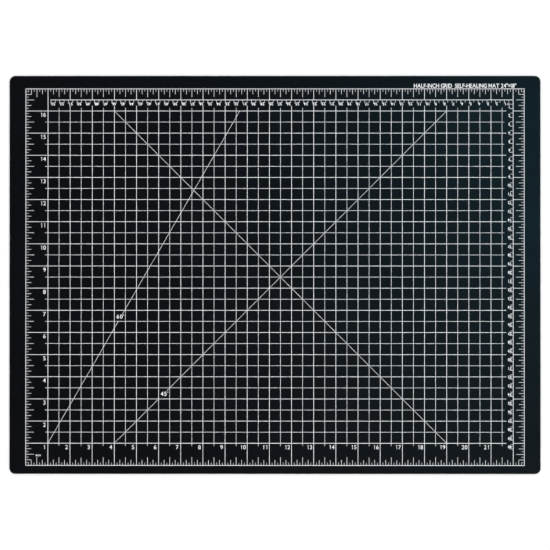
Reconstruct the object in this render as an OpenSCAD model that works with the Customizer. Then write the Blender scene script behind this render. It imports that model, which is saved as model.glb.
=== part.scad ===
// Self-healing cutting mat: five flat plies bonded into one sheet, with rules, a grid, numerals and
// angle lines printed in one ink film on the top face.
// Millimetres, +Z up. The origin is at the centre of the underside.
// The print is set out from the lower left corner of its frame, in whole inches.

/* [Grid] */
// Whole-inch columns between the first and the last full-height line
grid_columns = 21; // [18:1:23]
// Whole-inch rows between the first and the last numbered level line
grid_rows = 15; // [13:1:17]

/* [Mat] */
// Bare margin left of the printed frame
margin_left = 18.8; // [12:0.1:30]
// Bare margin right of the printed frame
margin_right = 18.7; // [12:0.1:30]
// Bare margin above the printed frame, which holds the caption
margin_top = 14.9; // [12:0.1:30]
// Bare margin below the printed frame
margin_bottom = 9.8; // [8:0.1:30]
// Radius of the rounded corners
corner_radius = 6.8; // [2:0.1:15]

/* [Plies] */
// Thickness of each soft outer skin
skin_t = 0.9; // [0.5:0.05:1.5]
// Thickness of the stiff core
core_t = 1.0; // [0.5:0.05:2]
// Thickness of each bond film between the core and a skin
bond_t = 0.1; // [0.05:0.01:0.2]

/* [Print] */
// Thickness of the ink film
ink_t = 0.05; // [0.03:0.01:0.1]
// Width of the frame line
frame_line = 0.6; // [0.4:0.05:1.2]
// Width of the header line, of the first and last upright lines and of the first level line
rule_line = 0.62; // [0.3:0.01:0.8]
// Width of the other whole-inch lines
inch_line = 0.54; // [0.3:0.01:0.8]
// Width of the half-inch lines
half_line = 0.4; // [0.2:0.01:0.6]
// Width of the ruler ticks
tick_line = 0.43; // [0.25:0.01:0.6]
// Width of the shortest ticks of each ruler
minor_tick_line = 0.32; // [0.2:0.01:0.5]
// Width of the angle lines
angle_line = 0.37; // [0.2:0.01:0.5]
// Height of the inch numerals
inch_digit_h = 4.65; // [4:0.05:5]
// Height of the centimetre numerals
cm_digit_h = 3.4; // [3:0.1:3.4]

/* [Hidden] */

inch = 25.4;
cm = 10;

// Printed frame, measured between the middles of its lines
frame_w = (grid_columns + 1.5) * inch;
frame_h = (grid_rows + 2) * inch;
mat_w = margin_left + frame_w + margin_right;
mat_h = margin_bottom + frame_h + margin_top;

// Levels of the plies, from the underside up
lower_bond_z = skin_t;
core_z = lower_bond_z + bond_t;
upper_bond_z = core_z + core_t;
top_skin_z = upper_bond_z + bond_t;
ink_z = top_skin_z + skin_t;

// Main lines of the print: the first upright and level line, the last ones, and the header line
first_line = inch;
last_upright = (grid_columns + 1) * inch;
last_level = (grid_rows + 1) * inch;
header_y = last_level + inch / 2;
header_start = first_line + 2.8;

// Where the grid lines stop short of the centimetre numerals
upright_end = last_level + 6;
half_upright_start = first_line - 3.2;
half_upright_end = last_level + 3.7;
level_end = last_upright - 7.9;
half_level_start = first_line - 3.3;
half_level_end = last_upright - 10.1;

// Tick lengths, measured from the middle of the line that a tick grows from
half_tick = 9.4;
quarter_tick = 6.2;
eighth_tick = 3.3;
cm_tick = 4.2;
half_cm_tick = 3.3;

// Centimetre scales: how many centimetres each one numbers
top_cm_count = floor(grid_columns * inch / cm);
side_cm_count = floor((grid_rows + 0.8) * inch / cm);

// Block numerals: proportions, gaps to the lines beside them, and the strokes of each digit
inch_digit_w = 0.62 * inch_digit_h;
inch_pitch = 0.75 * inch_digit_h;
cm_digit_w = 0.62 * cm_digit_h;
cm_pitch = 0.66 * cm_digit_h;
stroke = 0.16;
numeral_gap = 2.2;
two_digit_gap = 1.5;
cm_numeral_gap = 0.32;
cm_numeral_drop = 2.95;
side_one_digit_offset = 5.5;
side_two_digit_offset = 6.0;
// Strokes: 0 top, 1 upper right, 2 lower right, 3 foot, 4 lower left, 5 upper left, 6 middle
digit_strokes = [
    [0, 1, 2, 3, 4, 5], [1, 2], [0, 1, 6, 4, 3], [0, 1, 6, 2, 3], [5, 6, 1, 2],
    [0, 5, 6, 2, 3], [0, 5, 4, 3, 2, 6], [0, 1, 2], [0, 1, 2, 3, 4, 5, 6], [6, 5, 0, 1, 2, 3]
];

// Plain capitals of the unit words
word_h = 1.9;
word_w = 1.35;
word_stroke = 0.35;
word_pitch = 1.75;

// Angle lines: the diagonals run from the foot of the grid to its top and cross at its middle
diagonal_start = (first_line + last_upright - grid_rows * inch) / 2;
diagonal_step = inch / 2 * sqrt(2);
diagonal_clear = (max(inch_line, rule_line) * sqrt(2) + angle_line) / 2;
label_h = 4.5;
label_w = 3;
label_pitch = 3.9;
degree_shift = 0.7;
// The 60 degree line breaks off between two heights for its label
sixty_label = [103.7, 168.3];
sixty_gap = [165.1, 173.2];
// The rising diagonal breaks off in one half-inch square for its label
rising_label_square = 4;
rising_label_shift = [2, 3.6];
rising_label_gap = 9.6;

// ---------------------------------------------------------------- plies

module ply(z, t) {
    translate([0, 0, z])
        linear_extrude(t)
            union() {
                square([mat_w - 2 * corner_radius, mat_h], center = true);
                square([mat_w, mat_h - 2 * corner_radius], center = true);
                for (sx = [-1, 1], sy = [-1, 1])
                    translate([sx * (mat_w / 2 - corner_radius), sy * (mat_h / 2 - corner_radius)])
                        circle(r = corner_radius, $fn = 96);
            }
}

module bottom_skin() {
    color("#101113") ply(0, skin_t);
}

module lower_bond_film() {
    color("#3a3b3d") ply(lower_bond_z, bond_t);
}

module rigid_core() {
    color("#1c1d1f") ply(core_z, core_t);
}

module upper_bond_film() {
    color("#3a3b3d") ply(upper_bond_z, bond_t);
}

module top_skin() {
    color("#101113") ply(top_skin_z, skin_t);
}

// ---------------------------------------------------------------- drawing helpers

// Ink film on the top face, from a flat drawing set out from the corner of the printed frame
module ink() {
    color("#e8eaec")
        translate([margin_left - mat_w / 2, margin_bottom - mat_h / 2, ink_z])
            linear_extrude(ink_t)
                children();
}

module upright(x, y0, y1, w) {
    translate([x - w / 2, y0])
        square([w, y1 - y0]);
}

module level(y, x0, x1, w) {
    translate([x0, y - w / 2])
        square([x1 - x0, w]);
}

// One block digit, standing on its lower left corner
module digit(d, w, h) {
    t = stroke * h;
    upper = h / 2 - t / 2;
    for (s = digit_strokes[d]) {
        if (s == 0) translate([0, h - t]) square([w, t]);
        if (s == 1) translate([w - t, upper]) square([t, h - upper]);
        if (s == 2) translate([w - t, 0]) square([t, upper + t]);
        if (s == 3) square([w, t]);
        if (s == 4) square([t, upper + t]);
        if (s == 5) translate([0, upper]) square([t, h - upper]);
        if (s == 6) translate([0, upper]) square([w, t]);
    }
}

// A whole number with its last digit ending at x = 0
module numeral(n, w, h, pitch) {
    translate([-w, 0])
        digit(n % 10, w, h);
    if (n > 9)
        translate([-w - pitch, 0])
            digit(floor(n / 10), w, h);
}

module degree_sign() {
    difference() {
        circle(r = 0.75, $fn = 24);
        circle(r = 0.35, $fn = 24);
    }
}

// ---------------------------------------------------------------- frame and inch ticks

module border_frame() {
    ink()
        difference() {
            translate([-frame_line / 2, -frame_line / 2])
                square([frame_w + frame_line, frame_h + frame_line]);
            translate([frame_line / 2, frame_line / 2])
                square([frame_w - frame_line, frame_h - frame_line]);
        }
}

// Length and width of the tick at a number of eighths of an inch
function tick_length(eighths) =
    eighths % 4 == 0 ? half_tick : eighths % 2 == 0 ? quarter_tick : eighth_tick;

function tick_width(eighths) = eighths % 2 == 0 ? tick_line : minor_tick_line;

// A row of upright ticks that stands on y = 0
module tick_row() {
    for (k = [1 : frame_w / inch * 8 - 1])
        if (k % 8 != 0)
            upright(k * inch / 8, frame_line / 2, tick_length(k), tick_width(k));
}

// A column of level ticks that grows from x = 0; the two nearest each end meet the upright ticks
module tick_column() {
    steps = frame_h / inch * 8;
    for (k = [1 : steps - 1]) {
        from_end = min(k, steps - k);
        meeting = from_end * inch / 8 - tick_width(from_end) / 2;
        reach = from_end <= 2 ? meeting : tick_length(k);
        if (k % 8 != 0)
            level(k * inch / 8, frame_line / 2, reach, tick_width(k));
    }
}

module bottom_inch_ticks() {
    ink() tick_row();
}

module top_inch_ticks() {
    ink()
        translate([0, frame_h])
            mirror([0, 1])
                tick_row();
}

module left_inch_ticks() {
    ink() tick_column();
}

module right_inch_ticks() {
    ink()
        translate([frame_w, 0])
            mirror([1, 0])
                tick_column();
}

// ---------------------------------------------------------------- grid

// Width of the whole-inch line that is n inches from the edge of the frame
function grid_line(n) = n == 1 ? rule_line : inch_line;

module inch_grid() {
    inner = frame_line / 2;
    ink() {
        upright(first_line, inner, frame_h - inner, grid_line(1));
        for (i = [2 : grid_columns]) {
            upright(i * inch, inner, upright_end, grid_line(i));
            upright(i * inch, header_y + rule_line / 2, frame_h - inner, grid_line(i));
        }
        for (j = [1 : grid_rows + 1]) {
            level(j * inch, inner, level_end, grid_line(j));
            level(j * inch, last_upright + rule_line / 2, frame_w - inner, grid_line(j));
        }
    }
}

// Crossed half-inch lines inside every whole-inch square, and their short ends outside the grid
module half_inch_grid() {
    outer_flank = rule_line / 2;
    flank = inch_line / 2;
    ink() {
        for (i = [1 : grid_columns], j = [1 : grid_rows]) {
            left_end = i * inch + grid_line(i) / 2;
            right_end = i == grid_columns ? half_level_end : (i + 1) * inch - flank;
            foot = j * inch + grid_line(j) / 2;
            level((j + 0.5) * inch, left_end, right_end, half_line);
            upright((i + 0.5) * inch, foot, (j + 1) * inch - flank, half_line);
        }
        for (i = [1 : grid_columns]) {
            upright((i + 0.5) * inch, half_upright_start, first_line - outer_flank, half_line);
            upright((i + 0.5) * inch, last_level + flank, half_upright_end, half_line);
        }
        for (j = [1 : grid_rows])
            level((j + 0.5) * inch, half_level_start, first_line - outer_flank, half_line);
    }
}

// ---------------------------------------------------------------- centimetre rules

// Length and width of the tick at a number of half-centimetres
function cm_tick_length(halves) = halves % 2 == 0 ? cm_tick : half_cm_tick;

function cm_tick_width(halves) = halves % 2 == 0 ? tick_line : minor_tick_line;

// Header line with centimetre and half-centimetre ticks hanging from it, counted from its right end
module top_cm_rule() {
    ink() {
        level(header_y, header_start, last_upright - rule_line / 2, rule_line);
        for (k = [1 : 2 * top_cm_count])
            upright(
                last_upright - k * cm / 2,
                header_y - cm_tick_length(k), header_y - rule_line / 2,
                cm_tick_width(k)
            );
    }
}

// Last upright line with the same ticks on its left, counted down from the header line
module side_cm_rule() {
    ink() {
        upright(last_upright, frame_line / 2, frame_h - frame_line / 2, rule_line);
        for (k = [1 : 2 * side_cm_count])
            level(
                header_y - k * cm / 2,
                last_upright - cm_tick_length(k), last_upright - rule_line / 2,
                cm_tick_width(k)
            );
    }
}

// ---------------------------------------------------------------- numerals

module bottom_inch_numerals() {
    ink()
        for (n = [1 : grid_columns])
            translate([
                n * inch - (n > 9 ? two_digit_gap : numeral_gap),
                first_line - numeral_gap - inch_digit_h
            ])
                numeral(n, inch_digit_w, inch_digit_h, inch_pitch);
}

module left_inch_numerals() {
    ink()
        for (n = [2 : grid_rows + 1])
            translate([first_line - numeral_gap, n * inch - numeral_gap - inch_digit_h])
                numeral(n, inch_digit_w, inch_digit_h, inch_pitch);
}

// The centimetre numerals read from the far side of the mat, so they stand on their heads
module top_cm_numerals() {
    ink()
        for (n = [1 : top_cm_count])
            translate([last_upright - n * cm + cm_numeral_gap, header_y - cm_numeral_drop])
                rotate(180)
                    numeral(n, cm_digit_w, cm_digit_h, cm_pitch);
}

module side_cm_numerals() {
    ink()
        for (n = [1 : side_cm_count])
            translate([
                last_upright - (n > 9 ? side_two_digit_offset : side_one_digit_offset),
                header_y - n * cm + cm_numeral_gap + cm_digit_h
            ])
                rotate(180)
                    numeral(n, cm_digit_w, cm_digit_h, cm_pitch);
}

// ---------------------------------------------------------------- angle lines

// The 60 degree line, cut clear of every grid line that it crosses
module sixty_degree_line() {
    run = 1 / tan(60);
    top = last_level - first_line;
    cut = 4;
    ink()
        difference() {
            translate([first_line, first_line])
                rotate(60) {
                    level(0, 0, (sixty_gap[0] - first_line) / sin(60), angle_line);
                    level(0, (sixty_gap[1] - first_line) / sin(60), top / sin(60), angle_line);
                }
            for (k = [0 : 2 * grid_rows]) {
                y = k * inch / 2;
                w = k % 2 == 0 ? grid_line(1 + k / 2) : half_line;
                translate([first_line + y * run, first_line + y])
                    square([cut, w], center = true);
            }
            for (k = [0 : 2 * floor(top * run / inch) + 1]) {
                x = k * inch / 2;
                w = k % 2 == 0 ? grid_line(1 + k / 2) : half_line;
                translate([first_line + x, first_line + x / run])
                    square([w, cut], center = true);
            }
        }
}

// One diagonal as a row of bars, one across each half-inch square, from the lower left end
module diagonal_bars(skipped_square) {
    for (k = [0 : 2 * grid_rows - 1]) {
        from = k * diagonal_step + diagonal_clear;
        to = (k + 1) * diagonal_step - diagonal_clear;
        if (k != skipped_square)
            level(0, from, to, angle_line);
    }
}

module rising_diagonal() {
    ink()
        translate([diagonal_start, first_line])
            rotate(45) {
                diagonal_bars(rising_label_square);
                level(
                    0,
                    rising_label_square * diagonal_step + rising_label_gap * sqrt(2),
                    (rising_label_square + 1) * diagonal_step - diagonal_clear,
                    angle_line
                );
            }
}

module falling_diagonal() {
    ink()
        translate([diagonal_start, last_level])
            rotate(-45)
                diagonal_bars(-1);
}

module sixty_degree_label() {
    ink()
        translate(sixty_label) {
            digit(6, label_w, label_h);
            translate([label_pitch, 0]) digit(0, label_w, label_h);
            translate([2 * label_pitch + degree_shift, label_h - 0.4]) degree_sign();
        }
}

module forty_five_degree_label() {
    ink()
        translate([
            diagonal_start + rising_label_square * inch / 2 + rising_label_shift[0],
            first_line + rising_label_square * inch / 2 + rising_label_shift[1]
        ]) {
            digit(4, label_w, label_h);
            translate([label_pitch, 0]) digit(5, label_w, label_h);
            translate([2 * label_pitch + degree_shift, label_h - 0.4]) degree_sign();
        }
}

// ---------------------------------------------------------------- words

module letter_c() {
    square([word_stroke, word_h]);
    square([word_w, word_stroke]);
    translate([0, word_h - word_stroke])
        square([word_w, word_stroke]);
}

module letter_h() {
    square([word_stroke, word_h]);
    translate([word_w - word_stroke, 0])
        square([word_stroke, word_h]);
    translate([0, (word_h - word_stroke) / 2])
        square([word_w, word_stroke]);
}

module letter_m() {
    w = 1.6;
    inner = w - word_stroke;
    polygon([
        [0, 0], [word_stroke, 0], [word_stroke, 0.55 * word_h], [w / 2, 0.15 * word_h],
        [inner, 0.55 * word_h], [inner, 0], [w, 0],
        [w, word_h], [inner, word_h], [w / 2, 0.5 * word_h], [word_stroke, word_h], [0, word_h]
    ]);
}

module letter_n() {
    inner = word_w - word_stroke;
    polygon([
        [0, 0], [word_stroke, 0], [word_stroke, 0.6 * word_h], [inner, 0], [word_w, 0],
        [word_w, word_h], [inner, word_h], [inner, 0.4 * word_h], [word_stroke, word_h], [0, word_h]
    ]);
}

// The unit word of the inch rules, above the half-inch tick of the first inch
module inch_unit_word() {
    ink()
        translate([11.5, 10.5]) {
            square([word_stroke, word_h]);
            translate([0.8, 0]) {
                letter_n();
                translate([word_pitch, 0]) letter_c();
                translate([2 * word_pitch, 0]) letter_h();
            }
        }
}

// The unit word of the centimetre rules, upside down where their first half-centimetre ticks end
module cm_unit_word() {
    right_end = last_upright - half_cm_tick - 0.15;
    upper_edge = header_y - half_cm_tick - 0.55;
    ink()
        translate([right_end, upper_edge])
            rotate(180) {
                letter_c();
                translate([word_pitch, 0]) letter_m();
            }
}

// The nominal size of the mat in whole inches, right-aligned above the frame
module size_caption() {
    end = frame_w - 9;
    foot = frame_h + 1.3;
    cross_w = 2.6;
    ink() {
        translate([end, foot])
            numeral(grid_rows + 3, inch_digit_w, inch_digit_h, inch_pitch);
        translate([end - 10, foot + inch_digit_h / 2])
            for (a = [-45, 45])
                rotate(a) square([cross_w * sqrt(2), stroke * inch_digit_h], center = true);
        translate([end - 13.5, foot])
            numeral(grid_columns + 3, inch_digit_w, inch_digit_h, inch_pitch);
    }
}

bottom_skin();
lower_bond_film();
rigid_core();
upper_bond_film();
top_skin();
border_frame();
bottom_inch_ticks();
left_inch_ticks();
top_inch_ticks();
right_inch_ticks();
inch_grid();
half_inch_grid();
top_cm_rule();
side_cm_rule();
bottom_inch_numerals();
left_inch_numerals();
top_cm_numerals();
side_cm_numerals();
sixty_degree_line();
sixty_degree_label();
rising_diagonal();
falling_diagonal();
forty_five_degree_label();
inch_unit_word();
cm_unit_word();
size_caption();
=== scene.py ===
import math
from collections import namedtuple

import bmesh
import bpy
from mathutils import Euler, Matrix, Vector


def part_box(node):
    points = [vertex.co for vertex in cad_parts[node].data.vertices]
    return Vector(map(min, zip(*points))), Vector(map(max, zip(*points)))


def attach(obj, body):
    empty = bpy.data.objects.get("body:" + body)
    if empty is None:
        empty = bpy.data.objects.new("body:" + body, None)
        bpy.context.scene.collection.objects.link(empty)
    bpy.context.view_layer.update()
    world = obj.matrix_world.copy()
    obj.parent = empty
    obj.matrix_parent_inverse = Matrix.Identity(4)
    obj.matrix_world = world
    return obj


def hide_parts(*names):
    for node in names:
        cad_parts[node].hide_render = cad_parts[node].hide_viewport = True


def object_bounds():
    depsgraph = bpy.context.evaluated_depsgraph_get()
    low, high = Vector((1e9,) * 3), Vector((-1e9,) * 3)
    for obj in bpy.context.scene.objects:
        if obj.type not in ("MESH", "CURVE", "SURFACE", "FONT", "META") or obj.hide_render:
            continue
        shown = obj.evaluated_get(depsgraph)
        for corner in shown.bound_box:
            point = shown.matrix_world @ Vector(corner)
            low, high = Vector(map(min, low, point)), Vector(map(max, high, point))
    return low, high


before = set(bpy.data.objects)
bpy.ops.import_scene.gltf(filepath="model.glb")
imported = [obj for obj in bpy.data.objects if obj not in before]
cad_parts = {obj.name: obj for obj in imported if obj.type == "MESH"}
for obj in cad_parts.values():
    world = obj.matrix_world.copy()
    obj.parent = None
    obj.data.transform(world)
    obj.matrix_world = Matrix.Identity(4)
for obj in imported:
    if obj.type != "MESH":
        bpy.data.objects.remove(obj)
CAD_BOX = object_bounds()

MM = 0.001
INCH = 25.4 * MM
CM = 10 * MM

# ------------------------------------------------------------------ set-out
# The print is set out from the lower left corner of its frame, between line middles, as in the CAD.

FRAME_LINE = 0.6 * MM
FRAME_LOW, FRAME_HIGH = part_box("border_frame")
ORIGIN_X = FRAME_LOW[0] + FRAME_LINE / 2
ORIGIN_Y = FRAME_LOW[1] + FRAME_LINE / 2
INK_FOOT = FRAME_LOW[2]
INK_TOP = FRAME_HIGH[2]
COLUMNS = 21
ROWS = 15
LAST_UPRIGHT = (COLUMNS + 1) * INCH
HEADER_Y = (ROWS + 1.5) * INCH

# ------------------------------------------------------------------ materials


def new_material(name):
    material = bpy.data.materials.new(name)
    material.use_nodes = True
    tree = material.node_tree
    return material, tree, tree.nodes["Principled BSDF"]


def object_coords(tree, stretch=(1, 1, 1)):
    """Object coordinates in metres, with each axis scaled: a small factor draws a pattern out along it."""
    coords = tree.nodes.new("ShaderNodeTexCoord")
    mapping = tree.nodes.new("ShaderNodeMapping")
    mapping.inputs["Scale"].default_value = stretch
    tree.links.new(coords.outputs["Object"], mapping.inputs["Vector"])
    return mapping.outputs["Vector"]


def noise(tree, scale, detail=3.0, roughness=0.5, stretch=(1, 1, 1)):
    node = tree.nodes.new("ShaderNodeTexNoise")
    node.inputs["Scale"].default_value = scale
    node.inputs["Detail"].default_value = detail
    node.inputs["Roughness"].default_value = roughness
    tree.links.new(object_coords(tree, stretch), node.inputs["Vector"])
    return node.outputs["Fac"]


def colour_between(tree, value, dark, light, low=0.35, high=0.65):
    node = tree.nodes.new("ShaderNodeValToRGB")
    node.color_ramp.elements[0].position = low
    node.color_ramp.elements[0].color = (*dark, 1)
    node.color_ramp.elements[1].position = high
    node.color_ramp.elements[1].color = (*light, 1)
    tree.links.new(value, node.inputs["Fac"])
    return node.outputs["Color"]


def number_between(tree, value, low, high):
    node = tree.nodes.new("ShaderNodeMapRange")
    node.inputs["From Min"].default_value = 0.3
    node.inputs["From Max"].default_value = 0.7
    node.inputs["To Min"].default_value = low
    node.inputs["To Max"].default_value = high
    tree.links.new(value, node.inputs["Value"])
    return node.outputs["Result"]


def bump(tree, height, depth, strength, under=None):
    node = tree.nodes.new("ShaderNodeBump")
    node.inputs["Strength"].default_value = strength
    node.inputs["Distance"].default_value = depth
    tree.links.new(height, node.inputs["Height"])
    if under is not None:
        tree.links.new(under, node.inputs["Normal"])
    return node.outputs["Normal"]


def on_cut_edge(tree, value):
    """The value where the surface stands upright, which is the die-cut edge, and 0 on the faces."""
    coords = tree.nodes.new("ShaderNodeTexCoord")
    split = tree.nodes.new("ShaderNodeSeparateXYZ")
    tree.links.new(coords.outputs["Normal"], split.inputs["Vector"])
    steep = tree.nodes.new("ShaderNodeMath")
    steep.operation = "ABSOLUTE"
    tree.links.new(split.outputs["Z"], steep.inputs[0])
    upright = tree.nodes.new("ShaderNodeMapRange")
    upright.inputs["From Min"].default_value = 0.5
    upright.inputs["From Max"].default_value = 0.0
    tree.links.new(steep.outputs["Value"], upright.inputs["Value"])
    masked = tree.nodes.new("ShaderNodeMath")
    masked.operation = "MULTIPLY"
    tree.links.new(upright.outputs["Result"], masked.inputs[0])
    tree.links.new(value, masked.inputs[1])
    return masked.outputs["Value"]


def cut_marks(tree):
    """Fine upright scratches that the die leaves on the cut edge."""
    return on_cut_edge(tree, noise(tree, 2600.0, 2.0, 0.6, stretch=(1, 1, 0.04)))


def skin_material():
    """Black calendered vinyl: fine leathery grain, faint drawn-out gloss streaks, scratched cut edge."""
    material, tree, shader = new_material("calendered_vinyl")
    cloud = noise(tree, 9.0, 5.0)
    tint = colour_between(tree, cloud, (0.0023, 0.0023, 0.0036), (0.0031, 0.0031, 0.0045))
    tree.links.new(tint, shader.inputs["Base Color"])
    streaks = noise(tree, 55.0, 5.0, 0.6, stretch=(0.15, 1, 1))
    tree.links.new(number_between(tree, streaks, 0.42, 0.52), shader.inputs["Roughness"])
    shader.inputs["Specular IOR Level"].default_value = 0.25
    pebble = bump(tree, noise(tree, 2200.0, 2.0), 0.05 * MM, 0.15)
    scratched = bump(tree, cut_marks(tree), 0.08 * MM, 0.6, under=pebble)
    tree.links.new(scratched, shader.inputs["Normal"])
    return material


def core_material():
    """Rigid vinyl, a shade greyer than the skins, seen only at the cut edge."""
    material, tree, shader = new_material("rigid_vinyl")
    cloud = noise(tree, 350.0, 4.0)
    tint = colour_between(tree, cloud, (0.012, 0.012, 0.014), (0.022, 0.022, 0.025))
    tree.links.new(tint, shader.inputs["Base Color"])
    tree.links.new(number_between(tree, noise(tree, 900.0), 0.5, 0.7), shader.inputs["Roughness"])
    shader.inputs["Specular IOR Level"].default_value = 0.25
    tree.links.new(bump(tree, cut_marks(tree), 0.1 * MM, 0.8), shader.inputs["Normal"])
    return material


def bond_material():
    """Clear-ish adhesive film, a thin glossier line between the plies."""
    material, tree, shader = new_material("bond_film")
    cloud = noise(tree, 300.0, 4.0)
    tint = colour_between(tree, cloud, (0.020, 0.020, 0.022), (0.034, 0.034, 0.036))
    tree.links.new(tint, shader.inputs["Base Color"])
    tree.links.new(number_between(tree, noise(tree, 1200.0), 0.3, 0.45), shader.inputs["Roughness"])
    shader.inputs["Specular IOR Level"].default_value = 0.4
    return material


def ink_material():
    """Screen ink: cool white, a little uneven where the mesh laid it down, with a fine tooth."""
    material, tree, shader = new_material("screen_ink")
    patches = noise(tree, 500.0, 4.0)
    tint = colour_between(tree, patches, (0.80, 0.81, 0.83), (0.88, 0.89, 0.91))
    tree.links.new(tint, shader.inputs["Base Color"])
    tree.links.new(number_between(tree, noise(tree, 800.0), 0.48, 0.62), shader.inputs["Roughness"])
    shader.inputs["Specular IOR Level"].default_value = 0.25
    tree.links.new(bump(tree, noise(tree, 4500.0, 2.0), 0.02 * MM, 0.3), shader.inputs["Normal"])
    return material


SKIN = skin_material()
CORE = core_material()
BOND = bond_material()
INK = ink_material()

# ------------------------------------------------------------------ pieces


def finish_piece(name, target, material, node):
    bmesh.ops.recalc_face_normals(target, faces=target.faces)
    mesh = bpy.data.meshes.new(name)
    target.to_mesh(mesh)
    target.free()
    mesh.materials.append(material)
    obj = bpy.data.objects.new(name, mesh)
    bpy.context.scene.collection.objects.link(obj)
    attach(obj, "root")
    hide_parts(node)
    return obj


# ------------------------------------------------------------------ plies
# Each ply keeps its CAD box. Its edge is a short section of (inset, height) points, foot first, swept round
# the outline: the die rolls the outer rims over and leaves a shallow groove between one ply and the next.

CORNER_R = 6.8 * MM
CORNER_STEPS = 24
TOP_RIM = 0.4 * MM
BOTTOM_RIM = 0.25 * MM
SEAM_RIM = 0.06 * MM
RIM_STEPS = 5
CORE_INSET = 0.05 * MM
BOND_INSET = 0.14 * MM


def outline_ring(target, low, high, inset, z):
    """A ring of points round a rectangle with round corners, drawn in by inset."""
    radius = CORNER_R - inset
    centres = [
        (high[0] - CORNER_R, high[1] - CORNER_R),
        (low[0] + CORNER_R, high[1] - CORNER_R),
        (low[0] + CORNER_R, low[1] + CORNER_R),
        (high[0] - CORNER_R, low[1] + CORNER_R),
    ]
    ring = []
    for quarter, (x, y) in enumerate(centres):
        for step in range(CORNER_STEPS + 1):
            angle = math.radians(90 * (quarter + step / CORNER_STEPS))
            point = (x + radius * math.cos(angle), y + radius * math.sin(angle), z)
            ring.append(target.verts.new(point))
    return ring


def rim(radius, inset, z, up):
    """Section points of a quarter-round rim that meets the face at height z."""
    points = []
    for step in range(RIM_STEPS + 1):
        angle = math.radians(90 * step / RIM_STEPS)
        drop = radius * (1 - math.sin(angle))
        points.append((inset + radius * (1 - math.cos(angle)), z - drop if up else z + drop))
    return points if up else points[::-1]


def make_ply(name, node, material, inset, foot_rim, top_rim):
    low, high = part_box(node)
    section = rim(foot_rim, inset, low[2], up=False) + rim(top_rim, inset, high[2], up=True)
    target = bmesh.new()
    rings = [outline_ring(target, low, high, in_by, z) for in_by, z in section]
    for lower, upper in zip(rings, rings[1:]):
        for index in range(len(lower)):
            after = (index + 1) % len(lower)
            face = target.faces.new((lower[index], lower[after], upper[after], upper[index]))
            face.smooth = True
    target.faces.new(rings[0][::-1])
    target.faces.new(rings[-1])
    return finish_piece(name, target, material, node)


make_ply("bottom_skin_ply", "bottom_skin", SKIN, 0.0, BOTTOM_RIM, SEAM_RIM)
make_ply("lower_bond_ply", "lower_bond_film", BOND, BOND_INSET, 0.01 * MM, 0.01 * MM)
make_ply("core_ply", "rigid_core", CORE, CORE_INSET, SEAM_RIM, SEAM_RIM)
make_ply("upper_bond_ply", "upper_bond_film", BOND, BOND_INSET, 0.01 * MM, 0.01 * MM)
make_ply("top_skin_ply", "top_skin", SKIN, 0.0, SEAM_RIM, TOP_RIM)

# ------------------------------------------------------------------ lettering
# Figures and words are printed in a plain sans letter, in place of the stroke figures of the CAD.

Lettering = namedtuple("Lettering", "height squeeze weight")
glyph_store = {}


def letter_mesh(char, weight):
    """Flat mesh of one character of the plain sans letter, as (points, faces)."""
    curve = bpy.data.curves.new("glyph", "FONT")
    curve.body = char
    curve.resolution_u = 3
    curve.offset = weight
    obj = bpy.data.objects.new("glyph", curve)
    bpy.context.scene.collection.objects.link(obj)
    bpy.context.view_layer.update()
    solved = obj.evaluated_get(bpy.context.evaluated_depsgraph_get())
    mesh = bpy.data.meshes.new_from_object(solved)
    points = [(v.co.x, v.co.y) for v in mesh.vertices]
    faces = [tuple(polygon.vertices) for polygon in mesh.polygons]
    bpy.data.objects.remove(obj)
    bpy.data.meshes.remove(mesh)
    bpy.data.curves.remove(curve)
    return points, faces


CAPITAL_HEIGHT = max(y for x, y in letter_mesh("H", 0.0)[0])
# Proportions of the figure 1, in parts of its height
ONE_STEM = 0.1
ONE_REACH = 0.2
FLAG_HEAD = 0.86
FLAG_FOOT = 0.74
FLAG_STEP = 0.02


def figure_one(weight):
    """A figure 1 with a flag, in place of the bare bar of the sans letter, as (points, faces)."""
    swell = weight / CAPITAL_HEIGHT
    left, right = -ONE_STEM / 2 - swell, ONE_STEM / 2 + swell
    foot, head = -swell, 1 + swell
    tip = -ONE_REACH - swell
    outline = [
        (left, foot), (right, foot), (right, head), (left + FLAG_STEP, head),
        (tip, FLAG_HEAD + swell), (tip, FLAG_FOOT - swell), (left, FLAG_HEAD - swell),
    ]
    points = [(x * CAPITAL_HEIGHT, y * CAPITAL_HEIGHT) for x, y in outline]
    return points, [tuple(range(len(points)))]


def glyph(char, weight):
    """Flat mesh of one character as (points, faces, width), with its left edge and foot line at 0."""
    if (char, weight) not in glyph_store:
        points, faces = figure_one(weight) if char == "1" else letter_mesh(char, weight)
        left = min(x for x, y in points)
        points = [(x - left, y) for x, y in points]
        glyph_store[char, weight] = (points, faces, max(x for x, y in points))
    return glyph_store[char, weight]


def glyph_width(char, style):
    return glyph(char, style.weight)[2] * style.height / CAPITAL_HEIGHT * style.squeeze


def print_glyph(target, char, style, start, place):
    """One inked character: place maps points of the text line to the mat."""
    points, faces, width = glyph(char, style.weight)
    rise = style.height / CAPITAL_HEIGHT
    run = rise * style.squeeze
    feet = [target.verts.new((*place(start + x * run, y * rise), INK_FOOT)) for x, y in points]
    made = [target.faces.new([feet[index] for index in face]) for face in faces]
    lifted = bmesh.ops.extrude_face_region(target, geom=made)
    tops = [item for item in lifted["geom"] if isinstance(item, bmesh.types.BMVert)]
    bmesh.ops.translate(target, verts=tops, vec=(0, 0, INK_TOP - INK_FOOT))


def print_figures(target, text, style, pitch, place):
    """Figures in cells of equal width, each figure in the middle of its cell."""
    for index, char in enumerate(text):
        spare = pitch - glyph_width(char, style)
        print_glyph(target, char, style, index * pitch + spare / 2, place)


def word_length(text, style, gap, space):
    """Length of a line of words, from the left edge of its first letter to the right edge of its last."""
    letters = [char for char in text if char != " "]
    spaces = len(text) - len(letters)
    return sum(glyph_width(char, style) for char in letters) + gap * (len(letters) - 1) + space * spaces


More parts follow.
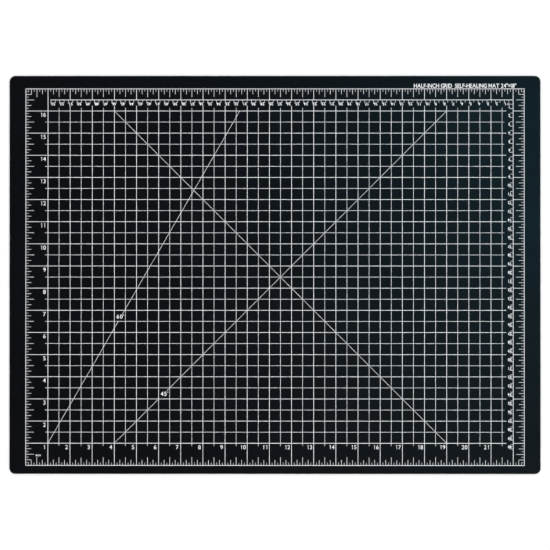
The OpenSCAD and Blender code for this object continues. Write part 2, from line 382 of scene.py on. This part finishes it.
def print_words(target, text, style, gap, space, place):
    """Words set letter after letter, with the same gap between all letters."""
    start = 0.0
    for char in text:
        if char == " ":
            start += space
            continue
        print_glyph(target, char, style, start, place)
        start += glyph_width(char, style) + gap


def upright_at(x, y):
    """Text that reads upright, with the lower left corner of its line at (x, y) on the mat."""
    return lambda a, b: (x + a, y + b)


def turned_at(x, y):
    """Text turned half round, with its own lower left corner at (x, y) on the mat."""
    return lambda a, b: (x - a, y - b)


INCH_FIGURES = Lettering(4.65 * MM, 1.0, 0.003)
INCH_FIGURE_PITCH = 3.5 * MM
INCH_FIGURE_GAP = 2.2 * MM
INCH_PAIR_GAP = 1.4 * MM
BOTTOM_FIGURE_FOOT = 6.8 * MM
LEFT_FIGURE_FOOT = 6.6 * MM
CM_FIGURES = Lettering(3.0 * MM, 1.0, 0.03)
CM_FIGURE_PITCH = 2.3 * MM


def inch_figures(target, number, right_x, foot_y):
    """An upright inch number: right_x is the right end of it and foot_y its foot line."""
    text = str(number)
    place = upright_at(ORIGIN_X + right_x - len(text) * INCH_FIGURE_PITCH, ORIGIN_Y + foot_y)
    print_figures(target, text, INCH_FIGURES, INCH_FIGURE_PITCH, place)


def cm_figures(target, number, left_x, top_y):
    """A turned centimetre number: left_x is the left end of it and top_y the foot line above it."""
    text = str(number)
    place = turned_at(ORIGIN_X + left_x + len(text) * CM_FIGURE_PITCH, ORIGIN_Y + top_y)
    print_figures(target, text, CM_FIGURES, CM_FIGURE_PITCH, place)


sheet = bmesh.new()
for number in range(1, COLUMNS + 1):
    gap = INCH_PAIR_GAP if number > 9 else INCH_FIGURE_GAP
    inch_figures(sheet, number, number * INCH - gap, INCH - BOTTOM_FIGURE_FOOT)
finish_piece("bottom_inch_print", sheet, INK, "bottom_inch_numerals")

sheet = bmesh.new()
for number in range(2, ROWS + 2):
    inch_figures(sheet, number, INCH - INCH_FIGURE_GAP, number * INCH - LEFT_FIGURE_FOOT)
finish_piece("left_inch_print", sheet, INK, "left_inch_numerals")

TOP_CM_DROP = 3.1 * MM
TOP_CM_SHIFT = 0.3 * MM
TOP_CM_COUNT = int(COLUMNS * INCH / CM)
sheet = bmesh.new()
for number in range(1, TOP_CM_COUNT + 1):
    cm_figures(sheet, number, LAST_UPRIGHT - number * CM + TOP_CM_SHIFT, HEADER_Y - TOP_CM_DROP)
finish_piece("top_cm_print", sheet, INK, "top_cm_numerals")

SIDE_CM_RISE = 3.75 * MM
SIDE_CM_COUNT = 40
SIDE_CM_REACH = {1: 5.5 * MM, 2: 6.05 * MM}
sheet = bmesh.new()
for number in range(1, SIDE_CM_COUNT + 1):
    reach = SIDE_CM_REACH[len(str(number))]
    cm_figures(sheet, number, LAST_UPRIGHT - reach, HEADER_Y - number * CM + SIDE_CM_RISE)
finish_piece("side_cm_print", sheet, INK, "side_cm_numerals")

LABEL_FIGURES = Lettering(4.5 * MM, 1.0, 0.012)
LABEL_PITCH = 3.9 * MM
DEGREE_R = 0.7 * MM
DEGREE_BORE = 0.4 * MM
DEGREE_STEPS = 20


def print_ring(target, x, y, outer, inner, steps):
    """A flat inked ring round (x, y)."""
    rings = []
    for radius, z in ((outer, INK_FOOT), (outer, INK_TOP), (inner, INK_TOP), (inner, INK_FOOT)):
        ring = []
        for step in range(steps):
            angle = math.tau * step / steps
            ring.append(target.verts.new((x + radius * math.cos(angle), y + radius * math.sin(angle), z)))
        rings.append(ring)
    for here, there in zip(rings, rings[1:] + rings[:1]):
        for step in range(steps):
            after = (step + 1) % steps
            target.faces.new((here[step], here[after], there[after], there[step]))


def angle_label(name, degrees, node):
    """Degrees from the left end of the CAD label, and a small degree ring in its upper right corner."""
    low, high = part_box(node)
    target = bmesh.new()
    print_figures(target, degrees, LABEL_FIGURES, LABEL_PITCH, upright_at(low[0], low[1]))
    print_ring(target, high[0] - DEGREE_R, high[1] - DEGREE_R, DEGREE_R, DEGREE_BORE, DEGREE_STEPS)
    return finish_piece(name, target, INK, node)


angle_label("sixty_degree_print", "60", "sixty_degree_label")
angle_label("forty_five_degree_print", "45", "forty_five_degree_label")

UNIT_GAP = 0.24 * MM
UNIT_SQUEEZE = 0.86
inch_low, inch_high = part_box("inch_unit_word")
inch_letters = Lettering(inch_high[1] - inch_low[1], UNIT_SQUEEZE, 0.02)
sheet = bmesh.new()
print_words(sheet, "INCH", inch_letters, UNIT_GAP, 0.0, upright_at(inch_low[0], inch_low[1]))
finish_piece("inch_unit_print", sheet, INK, "inch_unit_word")
cm_low, cm_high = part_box("cm_unit_word")
cm_letters = Lettering(cm_high[1] - cm_low[1], UNIT_SQUEEZE, 0.004)
sheet = bmesh.new()
print_words(sheet, "CM", cm_letters, UNIT_GAP, 0.0, turned_at(cm_high[0], cm_high[1]))
finish_piece("cm_unit_print", sheet, INK, "cm_unit_word")

CAPTION = "HALF-INCH GRID  SELF-HEALING MAT 24\"×18\""
CAPTION_LETTERS = Lettering(4.5 * MM, 0.9, 0.015)
CAPTION_LENGTH = 117.5 * MM
CAPTION_SPACE = 1.6 * MM
caption_low, caption_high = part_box("size_caption")
caption_gaps = len(CAPTION.replace(" ", "")) - 1
caption_tight = word_length(CAPTION, CAPTION_LETTERS, 0.0, CAPTION_SPACE)
caption_gap = (CAPTION_LENGTH - caption_tight) / caption_gaps
sheet = bmesh.new()
caption_start = upright_at(caption_high[0] - CAPTION_LENGTH, caption_low[1])
print_words(sheet, CAPTION, CAPTION_LETTERS, caption_gap, CAPTION_SPACE, caption_start)
finish_piece("size_caption_print", sheet, INK, "size_caption")

# ------------------------------------------------------------------ lines carried over from the CAD

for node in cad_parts.values():
    node.data.materials.clear()
    node.data.materials.append(INK)

# ------------------------------------------------------------------ floor and wall
# The floor is open under the mat, a little inside its outline, so that the underside shows from below.
# It lies a hair lower than the underside, so that the two don't coincide.

FLOOR_HALF = 12.0
FLOOR_DROP = 0.05 * MM
OPENING_INSET = 8 * MM
FLOOR_WHITE = (0.98, 0.98, 0.98, 1)
WALL_H = 9.0
WALL_SIDES = 96
WALL_GLOW = 1.05


def add_stage(name, target, material):
    mesh = bpy.data.meshes.new(name)
    target.to_mesh(mesh)
    target.free()
    mesh.materials.append(material)
    obj = bpy.data.objects.new(name, mesh)
    bpy.context.scene.collection.objects.link(obj)
    return obj


def floor_corners(target, x, y):
    signs = ((-1, -1), (1, -1), (1, 1), (-1, 1))
    return [target.verts.new((sx * x, sy * y, -FLOOR_DROP)) for sx, sy in signs]


floor_material, floor_tree, floor_shader = new_material("studio_floor")
floor_shader.inputs["Base Color"].default_value = FLOOR_WHITE
floor_shader.inputs["Roughness"].default_value = 0.9
floor_shader.inputs["Specular IOR Level"].default_value = 0.0
sheet = bmesh.new()
outer = floor_corners(sheet, FLOOR_HALF, FLOOR_HALF)
inner = floor_corners(sheet, CAD_BOX[1][0] - OPENING_INSET, CAD_BOX[1][1] - OPENING_INSET)
for index in range(4):
    after = (index + 1) % 4
    sheet.faces.new((outer[index], outer[after], inner[after], inner[index]))
add_stage("floor", sheet, floor_material)

# A white wall far off, for the camera only: it gives the level views a plain ground and lights nothing.
wall_material, wall_tree, wall_shader = new_material("studio_wall")
wall_shader.inputs["Base Color"].default_value = (0, 0, 0, 1)
wall_shader.inputs["Specular IOR Level"].default_value = 0.0
wall_shader.inputs["Emission Color"].default_value = (1, 1, 1, 1)
wall_shader.inputs["Emission Strength"].default_value = WALL_GLOW
sheet = bmesh.new()
feet = []
for index in range(WALL_SIDES):
    angle = math.tau * index / WALL_SIDES
    feet.append(sheet.verts.new((FLOOR_HALF * math.cos(angle), FLOOR_HALF * math.sin(angle), 0)))
heads = [sheet.verts.new((v.co.x, v.co.y, WALL_H)) for v in feet]
for index in range(WALL_SIDES):
    after = (index + 1) % WALL_SIDES
    sheet.faces.new((feet[index], feet[after], heads[after], heads[index]))
wall = add_stage("wall", sheet, wall_material)
wall.visible_diffuse = False
wall.visible_glossy = False
wall.visible_transmission = False
wall.visible_shadow = False

# ------------------------------------------------------------------ light
# Broad soft lights from four sides for the colours, and a dim ceiling with two cards for the sheen.

world = bpy.data.worlds.new("studio")
bpy.context.scene.world = world
world.use_nodes = True
world_tree = world.node_tree
sky_coords = world_tree.nodes.new("ShaderNodeTexCoord")
sky_split = world_tree.nodes.new("ShaderNodeSeparateXYZ")
world_tree.links.new(sky_coords.outputs["Generated"], sky_split.inputs["Vector"])
sky_rise = world_tree.nodes.new("ShaderNodeMapRange")
sky_rise.inputs["From Min"].default_value = -1.0
world_tree.links.new(sky_split.outputs["Z"], sky_rise.inputs["Value"])
sky_ramp = world_tree.nodes.new("ShaderNodeValToRGB")
sky_stops = ((0.46, 0.9), (0.5, 0.16), (0.65, 0.09), (0.9, 0.03))
for place, level in sky_stops[2:]:
    sky_ramp.color_ramp.elements.new(place)
for stop, (place, level) in zip(sky_ramp.color_ramp.elements, sky_stops):
    stop.position = place
    stop.color = (level, level, level * 1.02, 1)
world_tree.links.new(sky_rise.outputs["Result"], sky_ramp.inputs["Fac"])
world_tree.links.new(sky_ramp.outputs["Color"], world_tree.nodes["Background"].inputs["Color"])


def add_light(name, kind, place, power, colour):
    data = bpy.data.lights.new(name, kind)
    data.energy = power
    data.color = colour
    light = bpy.data.objects.new(name, data)
    light.location = place
    light.rotation_euler = (-Vector(place)).to_track_quat("-Z", "Y").to_euler()
    bpy.context.scene.collection.objects.link(light)
    return light


WHITE = (1.0, 1.0, 1.0)
SIDE_POWER = 1.21
SIDE_SPREAD = 30
for name, x, y in (("left", -1, 0), ("right", 1, 0), ("back", 0, 1), ("front", 0, -1)):
    side = add_light(name + "_light", "SUN", (x, y, 1), SIDE_POWER, WHITE)
    side.data.angle = math.radians(SIDE_SPREAD)
    side.visible_glossy = False

CARD_SIZE = 0.6
for name, place, power, colour in (
    ("cool_card", (1.0, 0.3, 1.7), 7.6, (0.13, 0.8, 1.0)),
    ("top_card", (0.4, -0.5, 1.8), 0.9, WHITE),
):
    card = add_light(name, "AREA", place, power, colour)
    card.data.shape = "SQUARE"
    card.data.size = CARD_SIZE
    card.visible_diffuse = False

# ------------------------------------------------------------------ camera
# It looks straight down, like the photo, and is turned a fraction of a degree to lie on the photo's lines.

CAMERA_PLACE = (2.92 * MM, -3.5 * MM, 1491.95 * MM)
CAMERA_TURN = (0.1286, 0.1077, 0.0106)
camera_data = bpy.data.cameras.new("camera")
camera_data.lens = 85.0
camera_data.sensor_width = 36.0
camera = bpy.data.objects.new("camera", camera_data)
camera.location = CAMERA_PLACE
camera.rotation_euler = Euler([math.radians(turn) for turn in CAMERA_TURN], "XYZ")
bpy.context.scene.collection.objects.link(camera)
bpy.context.scene.camera = camera
bpy.context.scene.view_settings.view_transform = "Standard"
